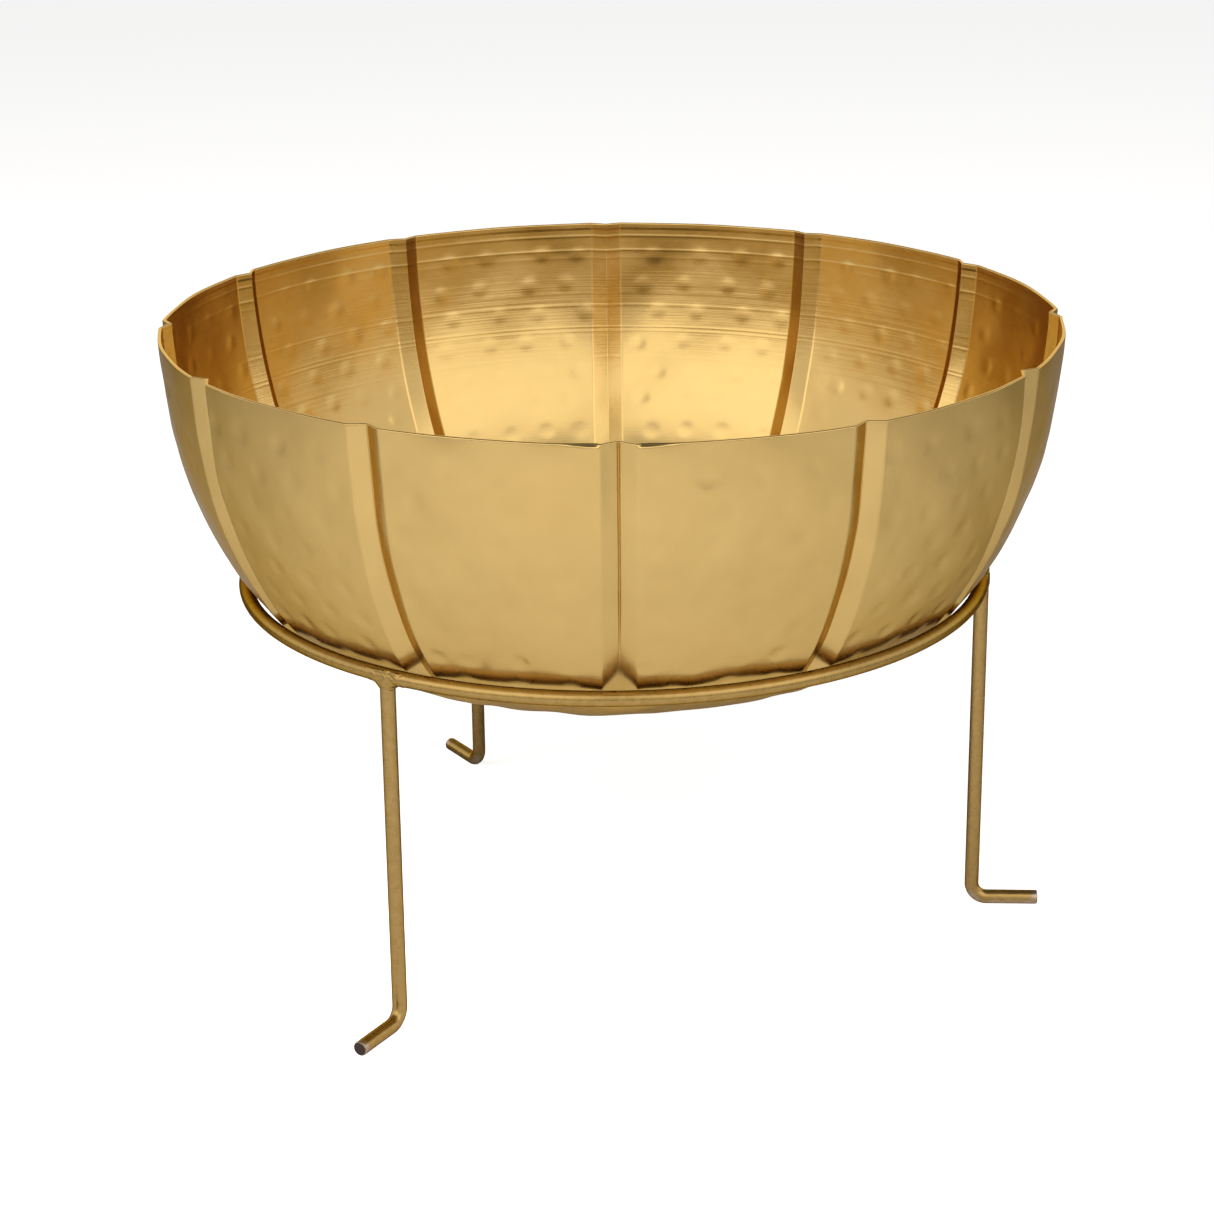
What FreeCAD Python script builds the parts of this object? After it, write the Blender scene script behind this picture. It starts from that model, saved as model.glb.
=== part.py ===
import FreeCAD, Part
import math
import os

import Sketcher
from FreeCAD import Placement, Rotation, Vector

# A creased sheet-metal bowl (urli) resting in a ring of round rod on three rod legs.
# Frame: +Z up, origin on the floor under the middle of the stand. All sizes are in millimetres.

SIZES = {
    # bowl: the outer wall is four tangent arcs from the rim down to a flat base
    "rim_radius": 152.5,
    "rim_height": 212.8,
    "sheet_thickness": 1.0,
    "upper_centre_height": 229.0,
    "upper_wall_radius": 305.0,
    "wall_centre_height": 204.2,
    "wall_radius": 134.0,
    "knuckle_centre_height": 160.6,
    "knuckle_radius": 56.5,
    "underside_radius": 162.0,
    "base_radius": 33.5,
    # creases pressed into the bowl along its meridians
    "crease_count": 12,
    "crease_depth": 3.4,
    "crease_half_width": 5.4,
    "crease_cutter_height": 9.0,
    "crease_overrun": 8.0,
    "crease_runout": 62.0,
    # stand: one rod size for the ring and the legs
    "rod_radius": 2.5,
    "ring_radius": 127.2,
    "ring_height": 123.2,
    "bend_radius": 5.5,
    "foot_length": 23.4,
    "foot_end_round": 0.5,
    # where the legs stand round the ring and how far each foot turns from radial, in degrees
    "front_left_angle": 235.0,
    "right_angle": 352.5,
    "back_angle": 114.6,
    "front_left_foot_turn": 4.0,
    "right_foot_turn": 4.0,
    "back_foot_turn": 7.0,
    # weld beads: a collar round each leg, widening upwards to just below the ring's centre line
    "weld_length": 4.4,
    "weld_drop": 1.8,
    "weld_top_radius": 4.2,
    "weld_foot_radius": 2.9,
}

LEG_NAMES = ("front_left", "right", "back")
ARC_RADII = ("upper_wall_radius", "wall_radius", "knuckle_radius", "underside_radius")
ARC_HEIGHTS = ("upper_centre_height", "wall_centre_height", "knuckle_centre_height")
SHEET = "<<sizes>>"

doc = FreeCAD.newDocument("urli_bowl")


def add_sheet():
    sheet = doc.addObject("Spreadsheet::Sheet", "sizes")
    sheet.Label = "sizes"
    for row, (alias, value) in enumerate(SIZES.items(), start=1):
        sheet.set(f"A{row}", alias)
        sheet.set(f"B{row}", str(value))
        sheet.setAlias(f"B{row}", alias)
    doc.recompute()
    return sheet


def size(alias):
    return float(sheet.get(alias))


def origin_feature(body, role):
    return next(item for item in body.Origin.OriginFeatures if item.Role == role)


def add_sketch(body, name, role):
    sketch = body.newObject("Sketcher::SketchObject", name)
    sketch.AttachmentSupport = [(origin_feature(body, role), "")]
    sketch.MapMode = "FlatFace"
    return sketch


def bind(sketch, constraint, alias_expression):
    index = sketch.addConstraint(constraint)
    sketch.setExpression(f"Constraints[{index}]", alias_expression)


class WallArc:
    """One arc of the bowl's meridian, seen with the radius along x and the height along y."""

    def __init__(self, centre, radius, start, end):
        self.centre = centre
        self.radius = radius
        self.start = start
        self.end = end

    def point(self, angle):
        return self.centre + Vector(math.cos(angle), math.sin(angle), 0) * self.radius

    def geometry(self):
        circle = Part.Circle(self.centre, Vector(0, 0, 1), self.radius)
        return Part.ArcOfCircle(circle, self.end, self.start)


def meridian_arcs(inset, top_height):
    """The four tangent arcs of the wall, moved inwards by inset, from top_height down to the base."""
    upper_rise = size("upper_centre_height") - size("rim_height")
    upper_reach = math.sqrt(size("upper_wall_radius") ** 2 - upper_rise**2)
    upper_centre = Vector(size("rim_radius") - upper_reach, size("upper_centre_height"), 0)
    radii = [size(name) for name in ARC_RADII]

    # each next centre lies inside the arc before it, at the distance that keeps the two tangent
    wall_reach = radii[0] - radii[1]
    wall_drop = size("wall_centre_height") - upper_centre.y
    wall_centre = upper_centre + Vector(math.sqrt(wall_reach**2 - wall_drop**2), wall_drop, 0)
    knuckle_reach = radii[1] - radii[2]
    knuckle_drop = size("knuckle_centre_height") - wall_centre.y
    knuckle_centre = wall_centre + Vector(math.sqrt(knuckle_reach**2 - knuckle_drop**2), knuckle_drop, 0)
    underside_reach = radii[3] - radii[2]
    underside_shift = knuckle_centre.x - size("base_radius")
    underside_rise = math.sqrt(underside_reach**2 - underside_shift**2)
    underside_centre = knuckle_centre + Vector(-underside_shift, underside_rise, 0)

    centres = [upper_centre, wall_centre, knuckle_centre, underside_centre]
    joins = [math.asin((top_height - upper_centre.y) / (radii[0] - inset))]
    joins.append(math.atan2(wall_drop, wall_centre.x - upper_centre.x))
    joins.append(math.atan2(knuckle_drop, knuckle_centre.x - wall_centre.x))
    joins.append(math.atan2(-underside_rise, underside_shift))
    joins.append(-math.pi / 2)
    return [
        WallArc(centre, radius - inset, joins[index], joins[index + 1])
        for index, (centre, radius) in enumerate(zip(centres, radii))
    ]


def add_arc_chain(sketch, arcs, inset_expression):
    """Draws the arcs as a tangent chain whose radii and centres follow the sheet."""
    indices = [sketch.addGeometry(arc.geometry(), False) for arc in arcs]
    for upper, lower in zip(indices, indices[1:]):
        # an arc runs anticlockwise, so its first point is its lower end
        sketch.addConstraint(Sketcher.Constraint("Tangent", upper, 1, lower, 2))
    for index, arc, name in zip(indices, arcs, ARC_RADII):
        radius = Sketcher.Constraint("Radius", index, arc.radius)
        bind(sketch, radius, f"{SHEET}.{name} - ({inset_expression})")
    for index, arc, name in zip(indices, arcs, ARC_HEIGHTS):
        bind(sketch, Sketcher.Constraint("DistanceY", -1, 1, index, 3, arc.centre.y), f"{SHEET}.{name}")
    bind(
        sketch,
        Sketcher.Constraint("DistanceX", -1, 1, indices[0], 3, arcs[0].centre.x),
        f"{SHEET}.rim_radius - sqrt({SHEET}.upper_wall_radius ^ 2"
        f" - ({SHEET}.upper_centre_height - {SHEET}.rim_height) ^ 2)",
    )
    return indices


def add_form_sketch(body, inset, inset_expression, top_height, top_expression):
    """Half of the bowl form's section, closed along the axis, the base and the top."""
    sketch = add_sketch(body, body.Name + "_section", "XZ_Plane")
    arcs = meridian_arcs(inset, top_height)
    indices = add_arc_chain(sketch, arcs, inset_expression)
    rim = arcs[0].point(arcs[0].start)
    base = arcs[-1].point(arcs[-1].end)
    base_line = sketch.addGeometry(Part.LineSegment(base, Vector(0, base.y, 0)), False)
    axis_line = sketch.addGeometry(Part.LineSegment(Vector(0, base.y, 0), Vector(0, rim.y, 0)), False)
    top_line = sketch.addGeometry(Part.LineSegment(Vector(0, rim.y, 0), rim), False)
    sketch.addConstraint(Sketcher.Constraint("Coincident", indices[-1], 1, base_line, 1))
    sketch.addConstraint(Sketcher.Constraint("Coincident", base_line, 2, axis_line, 1))
    sketch.addConstraint(Sketcher.Constraint("Coincident", axis_line, 2, top_line, 1))
    sketch.addConstraint(Sketcher.Constraint("Coincident", top_line, 2, indices[0], 2))
    sketch.addConstraint(Sketcher.Constraint("Horizontal", base_line))
    sketch.addConstraint(Sketcher.Constraint("Horizontal", top_line))
    sketch.addConstraint(Sketcher.Constraint("PointOnObject", axis_line, 1, -2))
    sketch.addConstraint(Sketcher.Constraint("PointOnObject", axis_line, 2, -2))
    bind(sketch, Sketcher.Constraint("DistanceX", -1, 1, indices[-1], 1, base.x), f"{SHEET}.base_radius")
    bind(sketch, Sketcher.Constraint("DistanceX", -1, 1, indices[-1], 3, base.x), f"{SHEET}.base_radius")
    bind(sketch, Sketcher.Constraint("DistanceY", -1, 1, top_line, 2, rim.y), top_expression)
    return sketch


def add_crease_path(body, inset, inset_expression, top_height, top_expression):
    """The line of a crease's bottom: level with the wall, then straight out through the underside."""
    sketch = add_sketch(body, body.Name + "_crease_path", "XZ_Plane")
    depth = inset + size("crease_depth")
    depth_expression = f"{inset_expression} + {SHEET}.crease_depth"
    arcs = meridian_arcs(depth, top_height)[:3]
    indices = add_arc_chain(sketch, arcs, depth_expression)
    start = arcs[2].point(arcs[2].end)
    heading = Vector(math.sin(arcs[2].end), -math.cos(arcs[2].end), 0)
    end = start + heading * size("crease_runout")
    runout = sketch.addGeometry(Part.LineSegment(start, end), False)
    sketch.addConstraint(Sketcher.Constraint("Tangent", indices[2], 1, runout, 1))
    bind(sketch, Sketcher.Constraint("Distance", runout, size("crease_runout")), f"{SHEET}.crease_runout")
    # the underside's arc would fix where the knuckle ends, so its worked-out height stands in for it
    sketch.addConstraint(Sketcher.Constraint("DistanceY", -1, 1, runout, 1, start.y))
    bind(sketch, Sketcher.Constraint("DistanceY", -1, 1, indices[0], 2, top_height), top_expression)
    return sketch, arcs[0].point(arcs[0].start).x


def add_crease_section(body, apex_x, top_height, top_expression):
    """The V of the crease, drawn level above the rim, open to the outside."""
    sketch = add_sketch(body, body.Name + "_crease_section", "XY_Plane")
    sketch.AttachmentOffset = Placement(Vector(0, 0, top_height), Rotation())
    sketch.setExpression("AttachmentOffset.Base.z", top_expression)
    reach = size("crease_cutter_height")
    half_width = size("crease_half_width") * reach / size("crease_depth")
    corners = [
        Vector(apex_x, 0, 0),
        Vector(apex_x + reach, -half_width, 0),
        Vector(apex_x + reach, half_width, 0),
    ]
    sides = [
        sketch.addGeometry(Part.LineSegment(corners[index], corners[(index + 1) % 3]), False)
        for index in range(3)
    ]
    for index in range(3):
        sketch.addConstraint(Sketcher.Constraint("Coincident", sides[index], 2, sides[(index + 1) % 3], 1))
    sketch.addConstraint(Sketcher.Constraint("PointOnObject", sides[0], 1, -1))
    sketch.addConstraint(Sketcher.Constraint("Symmetric", sides[0], 2, sides[1], 2, -1))
    sketch.addConstraint(Sketcher.Constraint("DistanceX", -1, 1, sides[0], 1, apex_x))
    bind(
        sketch,
        Sketcher.Constraint("DistanceX", sides[0], 1, sides[0], 2, reach),
        f"{SHEET}.crease_cutter_height",
    )
    bind(
        sketch,
        Sketcher.Constraint("DistanceY", sides[0], 2, sides[1], 2, 2 * half_width),
        f"2 * {SHEET}.crease_half_width * {SHEET}.crease_cutter_height / {SHEET}.crease_depth",
    )
    return sketch


def add_creased_form(name, inset, inset_expression, top_height, top_expression):
    """A solid of the bowl's outside or inside, with every crease cut into it."""
    body = doc.addObject("PartDesign::Body", name)
    section = add_form_sketch(body, inset, inset_expression, top_height, top_expression)
    turned = body.newObject("PartDesign::Revolution", name + "_turned")
    turned.Profile = section
    turned.ReferenceAxis = (origin_feature(body, "Z_Axis"), [""])
    turned.Angle = 360.0
    doc.recompute()

    cutter_top = top_height + size("crease_overrun")
    cutter_top_expression = f"{top_expression} + {SHEET}.crease_overrun"
    path, apex_x = add_crease_path(body, inset, inset_expression, cutter_top, cutter_top_expression)
    vee = add_crease_section(body, apex_x, cutter_top, cutter_top_expression)
    crease = body.newObject("PartDesign::SubtractivePipe", name + "_crease")
    crease.Profile = vee
    crease.Spine = (path, [])
    doc.recompute()

    creases = body.newObject("PartDesign::PolarPattern", name + "_creases")
    creases.Originals = [crease]
    creases.Axis = (origin_feature(body, "Z_Axis"), [""])
    creases.Angle = 360.0
    creases.setExpression("Occurrences", f"{SHEET}.crease_count")
    body.Tip = creases
    doc.recompute()
    return body


def add_bowl():
    outside = add_creased_form("bowl_outside", 0.0, "0", size("rim_height"), f"{SHEET}.rim_height")
    overrun_top = size("rim_height") + size("crease_overrun")
    inside = add_creased_form(
        "bowl_inside",
        size("sheet_thickness"),
        f"{SHEET}.sheet_thickness",
        overrun_top,
        f"{SHEET}.rim_height + {SHEET}.crease_overrun",
    )
    bowl = doc.addObject("Part::Cut", "bowl")
    bowl.Base = outside
    bowl.Tool = inside
    return bowl


def add_stand_ring(name):
    ring = doc.addObject("Part::Torus", name)
    ring.setExpression("Radius1", f"{SHEET}.ring_radius")
    ring.setExpression("Radius2", f"{SHEET}.rod_radius")
    ring.setExpression("Placement.Base.z", f"{SHEET}.ring_height")
    return ring


def bind_polar_place(item, angle_expression, turn_expression, height_expression):
    """Stands an item on the ring's circle at an angle, turned about the upright through it."""
    item.Placement = Placement(Vector(0, 0, 0), Rotation(Vector(0, 0, 1), 1.0))
    item.setExpression("Placement.Base.x", f"{SHEET}.ring_radius * cos({angle_expression} * 1 deg)")
    item.setExpression("Placement.Base.y", f"{SHEET}.ring_radius * sin({angle_expression} * 1 deg)")
    item.setExpression("Placement.Base.z", height_expression)
    item.setExpression("Placement.Rotation.Angle", turn_expression)


def add_leg_rod(leg_name):
    """One rod: up from the floor bend to the middle of the ring, with the foot pointing along +X."""
    body = doc.addObject("PartDesign::Body", "rod_" + leg_name)
    bend = size("bend_radius")
    floor_axis = size("rod_radius")
    top = size("ring_height")
    path = add_sketch(body, "path_" + leg_name, "XZ_Plane")
    upright = path.addGeometry(Part.LineSegment(Vector(0, top, 0), Vector(0, floor_axis + bend, 0)), False)
    corner = Part.Circle(Vector(bend, floor_axis + bend, 0), Vector(0, 0, 1), bend)
    elbow = path.addGeometry(Part.ArcOfCircle(corner, math.pi, 1.5 * math.pi), False)
    foot_line = Part.LineSegment(Vector(bend, floor_axis, 0), Vector(size("foot_length"), floor_axis, 0))
    foot = path.addGeometry(foot_line, False)
    path.addConstraint(Sketcher.Constraint("Tangent", upright, 2, elbow, 1))
    path.addConstraint(Sketcher.Constraint("Tangent", elbow, 2, foot, 1))
    path.addConstraint(Sketcher.Constraint("PointOnObject", upright, 1, -2))
    path.addConstraint(Sketcher.Constraint("Vertical", upright))
    path.addConstraint(Sketcher.Constraint("Horizontal", foot))
    bind(path, Sketcher.Constraint("DistanceY", -1, 1, upright, 1, top), f"{SHEET}.ring_height")
    bind(path, Sketcher.Constraint("Radius", elbow, bend), f"{SHEET}.bend_radius")
    bind(path, Sketcher.Constraint("DistanceY", -1, 1, foot, 2, floor_axis), f"{SHEET}.rod_radius")
    bind(path, Sketcher.Constraint("DistanceX", -1, 1, foot, 2, size("foot_length")), f"{SHEET}.foot_length")

    section = add_sketch(body, "section_" + leg_name, "XY_Plane")
    section.AttachmentOffset = Placement(Vector(0, 0, top), Rotation())
    section.setExpression("AttachmentOffset.Base.z", f"{SHEET}.ring_height")
    circle = Part.Circle(Vector(0, 0, 0), Vector(0, 0, 1), size("rod_radius"))
    rim = section.addGeometry(circle, False)
    section.addConstraint(Sketcher.Constraint("Coincident", rim, 3, -1, 1))
    bind(section, Sketcher.Constraint("Radius", rim, size("rod_radius")), f"{SHEET}.rod_radius")

    rod = body.newObject("PartDesign::AdditivePipe", "bent_rod_" + leg_name)
    rod.Profile = section
    rod.Spine = (path, [])
    doc.recompute()

    rounded = body.newObject("PartDesign::Fillet", "foot_end_" + leg_name)
    rounded.Base = (rod, [foot_end_edge(rod.Shape)])
    rounded.setExpression("Radius", f"{SHEET}.foot_end_round")
    body.Tip = rounded
    return body


def foot_end_edge(shape):
    """The name of the sawn end's round edge, the edge furthest along the foot."""
    reach = [edge.BoundBox.XMin for edge in shape.Edges]
    return f"Edge{reach.index(max(reach)) + 1}"


def add_leg(leg_name, ring):
    """The rod coped to sit against the underside of the ring."""
    rod = add_leg_rod(leg_name)
    angle = f"{SHEET}.{leg_name}_angle"
    turn = f"({angle} + {SHEET}.{leg_name}_foot_turn) * 1 deg"
    bind_polar_place(rod, angle, turn, "0 mm")
    leg = doc.addObject("Part::Cut", "leg_" + leg_name)
    leg.Base = rod
    leg.Tool = ring
    return leg


def add_weld(leg_name, ring, leg):
    """A collar of weld metal round the top of the leg, with the ring and the leg taken out of it."""
    collar = doc.addObject("Part::Cone", "collar_" + leg_name)
    collar.setExpression("Radius1", f"{SHEET}.weld_foot_radius")
    collar.setExpression("Radius2", f"{SHEET}.weld_top_radius")
    collar.setExpression("Height", f"{SHEET}.weld_length")
    angle = f"{SHEET}.{leg_name}_angle"
    height = f"({SHEET}.ring_height - {SHEET}.weld_drop - {SHEET}.weld_length)"
    bind_polar_place(collar, angle, f"{angle} * 1 deg", height)
    off_ring = doc.addObject("Part::Cut", "collar_off_ring_" + leg_name)
    off_ring.Base = collar
    off_ring.Tool = ring
    weld = doc.addObject("Part::Cut", "weld_" + leg_name)
    weld.Base = off_ring
    weld.Tool = leg
    return weld


def faults():
    """The names of objects that failed to build."""
    return [item.Name for item in doc.Objects if {"Invalid", "Error"} & set(item.State)]


def check_and_export(pieces):
    failed = faults()
    if failed:
        raise RuntimeError("objects failed to build: " + ", ".join(failed))
    os.makedirs("parts", exist_ok=True)
    for piece in pieces:
        shape = piece.Shape
        if shape.isNull() or not shape.isValid() or len(shape.Solids) != 1:
            raise RuntimeError(f"{piece.Label} is not one valid solid")
    for piece in pieces:
        piece.Shape.exportStep(f"parts/{piece.Label}.step")
        print(f"{piece.Label}: {piece.Shape.Volume:.1f} mm3")


sheet = add_sheet()
bowl = add_bowl()
stand_ring = add_stand_ring("stand_ring")
legs = [add_leg(leg_name, stand_ring) for leg_name in LEG_NAMES]
welds = [add_weld(leg_name, stand_ring, leg) for leg_name, leg in zip(LEG_NAMES, legs)]
doc.recompute()
check_and_export([bowl, stand_ring, *legs, *welds])
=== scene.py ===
import math

import bpy
import numpy as np
from mathutils import Matrix, Vector


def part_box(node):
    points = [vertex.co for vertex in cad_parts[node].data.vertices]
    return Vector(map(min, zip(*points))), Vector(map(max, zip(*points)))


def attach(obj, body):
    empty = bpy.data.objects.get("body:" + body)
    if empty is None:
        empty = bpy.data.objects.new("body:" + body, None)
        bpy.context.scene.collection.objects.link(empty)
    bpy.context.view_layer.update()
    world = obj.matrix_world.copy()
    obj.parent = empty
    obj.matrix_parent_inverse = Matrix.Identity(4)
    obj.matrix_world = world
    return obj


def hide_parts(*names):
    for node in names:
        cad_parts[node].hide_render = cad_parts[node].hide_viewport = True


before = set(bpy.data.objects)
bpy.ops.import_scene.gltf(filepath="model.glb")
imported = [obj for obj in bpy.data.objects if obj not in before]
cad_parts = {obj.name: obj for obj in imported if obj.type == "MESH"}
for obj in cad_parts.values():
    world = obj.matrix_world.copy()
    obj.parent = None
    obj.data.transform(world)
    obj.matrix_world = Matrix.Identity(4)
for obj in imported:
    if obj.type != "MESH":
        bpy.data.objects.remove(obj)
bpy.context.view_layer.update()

# A creased, dimpled brass bowl in a ring stand of painted rod. Lengths here are in millimetres until
# they reach Blender, which takes metres. Azimuths turn about the bowl's axis, in degrees from +X.

MM = 0.001
RIM_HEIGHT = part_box("bowl")[1].z / MM
RING_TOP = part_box("stand_ring")[1].z / MM
ROD_RADIUS = (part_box("stand_ring")[1].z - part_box("stand_ring")[0].z) / MM / 2
RING_HEIGHT = RING_TOP - ROD_RADIUS
RING_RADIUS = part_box("stand_ring")[1].x / MM - ROD_RADIUS

# the bowl's outer wall: four tangent arcs from the rim down to a flat base
RIM_RADIUS = 152.5
ARC_RADII = (305.0, 134.0, 56.5, 162.0)
ARC_CENTRE_HEIGHTS = (229.0, 204.2, 160.6)
BASE_RADIUS = 33.5
SHEET = 1.0
SET_BACK = 0.25  # the wall lies this far inside the nominal one, so that its swellings stay inside it too
SET_BACK_AT_RIM = 0.36  # and this much further at the rim
SET_BACK_FADE = 30.0

# the uneven sheet: how many waves are added up, how high each one is, and how they are shared out
WAVES = 14
WAVE_HEIGHT = 0.055
WAVE_TURNS = (5, 34)
WAVE_PITCHES = (24.0, 70.0)
WAVE_INNER = 0.8
WAVE_OUTER = 1.4

# creases pressed along the meridians
CREASES = 12
SECTOR = 360.0 / CREASES
CREASE_DEPTH = 2.6
CREASE_HALF_WIDTH = 5.6
CREASE_WIDEST = 6.5  # degrees, where the bowl narrows below the ring
CREASE_FADE = (92.0, 132.0)  # where a crease begins to flatten and where it has gone, along the wall
CREASE_SWELL = 0.25  # how far the sheet stands out beside each crease
CREASE_SWELL_REACH = 7.0
FRONT = -90.0
FRONT_SWELL = 0.3  # the front crease's edges stand out further, near the rim
FRONT_SWELL_ANGLE = 12.0
FRONT_SWELL_FADE = 22.0
# how far each crease is out of step, in degrees, starting at the front one
CREASE_SHIFTS = (-0.1, -0.4, -0.5, -0.2, 0.1, -0.6, -0.1, 0.8, 0.4, 0.3, 0.7, 0.1)

# the panels are flattened just above the ring
FLAT_DEPTH = 1.1
FLAT_DOWN = 106.0
FLAT_HEIGHT = 15.0
FLAT_EDGE = 8.0

# the sharp line scored along the bottom of each crease
SCORE_DEPTH = 0.3
SCORE_WIDTH = 0.16
SCORE_FADE = (55.0, 85.0)

# columns of the bowl's mesh across one crease facet and one panel, and its rows down the wall
FACET_STEPS = (0.0, 0.025, 0.06, 0.12, 0.24, 0.3, 0.5, 0.7, 0.78, 0.9)
PANEL_CELLS = 62
ROW_PITCH_OUTER = 1.1
ROW_PITCH_INNER = 0.9
ROW_PITCH_BELOW = 2.2
ROWS_BELOW = 130.0
LIP_ROW_PITCH = 0.25
LIP_ROWS_END = 3.0
CLOSEST_ROWS = 0.12

# hammer marks
MARK_FIRST = 12.0
MARK_LAST = 25.0  # this far from the middle of the base
MARK_PITCH = 11.55
MARK_SPACING = 16.0
MARK_SIZE = 2.5
MARK_DEPTH = 0.16
MARK_REACH = 3  # a mark ends this many sizes from its middle
MARK_LEADS = (0.18, 0.5)  # where even and odd rows begin, as a share of the spacing
OUTER_MARKS = 1.7  # their depth outside, as a share of the depth inside
OUTER_SPREAD = 1.2

# marks left by the creasing tool, and knocks, beside the front crease
# each: across from the crease, down the wall, half width, half height, depth
PRESS_MARKS = (
    (-2.9, 8.5, 1.5, 5.5, 0.10),
    (-2.9, 17.9, 1.5, 1.5, 0.13),
    (-2.9, 21.4, 1.3, 1.1, 0.10),
    (-13.5, 12.6, 1.8, 0.5, 0.12),
    (3.0, 12.0, 1.6, 1.2, 0.06),
    (14.0, 33.0, 2.6, 0.9, 0.10),
    (-16.0, 46.0, 2.8, 0.9, 0.08),
    (41.0, 15.5, 3.0, 0.7, 0.10),
)

# rings left inside by spinning: a thick lip, then ridges, each with its place down the wall, height and width
LIP_THICKNESS = 0.14
LIP_END = (1.9, 2.5)
RING_RIDGES = (
    (5.0, 0.055, 0.45),
    (10.6, 0.05, 0.45),
    (13.6, 0.015, 0.5),
    (27.5, 0.012, 0.6),
    (30.2, 0.012, 0.5),
    (32.4, 0.035, 0.45),
    (41.0, 0.028, 0.4),
    (42.6, 0.028, 0.4),
    (53.0, 0.014, 0.5),
)
RIDGE_ROWS = (-2, -1.2, -0.6, 0, 0.6, 1.2, 2)  # rows of the mesh across a ridge, in its widths

# the rim is rolled inwards beside the front crease, and it rises and falls
# each lift has an azimuth from +X, a height and a spread in degrees
ROLL_DEPTH = 1.2
ROLL_LEAN = 1.12
ROLL_REACH = 11.0
RIM_DROP = 0.9
RIM_DROP_FADE = 40.0
RIM_LIFTS = (
    (-134.0, 0.75, 26.0),
    (-55.0, -0.7, 40.0),
    (90.0, 0.35, 50.0),
    (180.0, 0.2, 40.0),
)
CUT_EDGE = (0.15, 0.85)  # the two rows along the cut edge, as shares of the sheet's thickness
CUT_EDGE_RISE = 0.2

# legs: where each stands round the ring, and how far its foot turns from straight outwards, in degrees
LEGS = {
    "front_left": (235.0, 4.0),
    "right": (352.5, 4.0),
    "back": (114.6, 7.0),
}
BEND_RADIUS = 5.5
FOOT_LENGTH = 23.4
FOOT_ROUNDING = 0.5
CLEAR_OF_FLOOR = 0.02
ROD_SIDES = 40
RING_STEP = 0.5  # degrees

# weld beads: how far each reaches along the ring, wraps round the rod (degrees) and sags down the leg
WELD_REACH = (-7.5, 8.5)
WELD_WRAP = (-150.0, 62.0)
WELD_HALF_LENGTH = 7.9
WELD_DROP = 1.8
WELD_SPREAD = 3.2
RIDGE_WRAP = 44.0
WELD_BACK = 0.55  # a bead's hidden back lies at this share of the way out from the rod's middle

# colours, and how rough each finish is
BRASS_TINTS = ((0.530, 0.374, 0.140), (0.570, 0.406, 0.157))
BRASS_AT_GRAZE = (0.81, 0.66, 0.42, 1.0)
BRASS_ROUGHNESS = (0.19, 0.25)
BRASS_GRAIN = 0.25  # depth of the grain all over, as a share of a full one
TURNED_GRAIN = 0.55  # and how much is added inside, between these distances down the wall
TURNED_BEGINS = (14.0, 26.0)
TURNED_ENDS = (62.0, 50.0)
PAINT_TINTS = ((0.330, 0.218, 0.072), (0.375, 0.252, 0.088))
PAINT_AT_GRAZE = (0.30, 0.20, 0.08, 1.0)
PAINT_ROUGHNESS = (0.26, 0.31)
BARE_STEEL = (0.42, 0.38, 0.36)
SAWN_STEEL = (0.060, 0.045, 0.045)
WARM_WHITE = (1.0, 0.95, 0.9)

# the room that the metal reflects: its walls brighten to the back, and its ceiling dims with height
WALL_STRENGTHS = (1.05, 1.5)
WALL_SKEW = 0.3  # the brightest wall is at the back, a little to the left
CEILING_BAND = (0.54, 0.82)
CEILING_SLOPE = 0.3  # the ceiling's edge comes down towards the back
CEILING_STRENGTH = 0.12
FLOOR_HALF_SIZE = 14.0
FLOOR_WHITE = 0.86
FLOOR_LIFT = 0.85  # light added to the floor for the camera alone
LAMP_TARGET = (0.0, 0.0, 0.14)

# the photograph's view, as a turn about the bowl, a lift over the horizon and a tilt of the frame
VIEW_TURN = -0.6
VIEW_LIFT = 19.47
VIEW_TILT = -0.646
VIEW_TARGET = (-2.54, 0.0, 108.13)
VIEW_DISTANCE = 1020.95
FILM_WIDTH = 36.0
FOCAL_LENGTH = 86.5

# one seed for all: the hammer marks are drawn first, then the waves, then each bead
rng = np.random.default_rng(7)


# ---------------------------------------------------------------- meshes


def grid_mesh(name, rows, start_pole, end_pole):
    """A closed quad mesh through rows of points (rows, columns, 3), each row a loop.
    A fan to a pole closes the first row, and another one the last."""
    count, width = rows.shape[:2]
    index = np.arange(count * width).reshape(count, width)
    after = np.roll(index, -1, axis=1)
    quads = np.stack([index[:-1], after[:-1], after[1:], index[1:]], axis=-1)
    start = np.full(width, count * width)
    first_fan = np.stack([after[0], index[0], start], axis=-1)
    last_fan = np.stack([index[-1], after[-1], start + 1], axis=-1)
    points = np.concatenate([rows.reshape(-1, 3), [start_pole], [end_pole]])
    corners = np.concatenate([quads.ravel(), first_fan.ravel(), last_fan.ravel()])
    sizes = np.concatenate([np.full((count - 1) * width, 4), np.full(2 * width, 3)])
    return raw_mesh(name, points, corners, sizes)


def raw_mesh(name, points, corners, sizes):
    """A smooth mesh from points in millimetres, the corners of all its faces, and how many each face has."""
    mesh = bpy.data.meshes.new(name)
    mesh.vertices.add(len(points))
    mesh.vertices.foreach_set("co", (points * MM).astype(np.float32).ravel())
    mesh.loops.add(len(corners))
    mesh.loops.foreach_set("vertex_index", corners.astype(np.int32))
    mesh.polygons.add(len(sizes))
    starts = np.concatenate([[0], np.cumsum(sizes)[:-1]])
    mesh.polygons.foreach_set("loop_start", starts.astype(np.int32))
    mesh.update(calc_edges=True)
    mesh.validate()
    mesh.shade_smooth()
    return mesh


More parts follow.
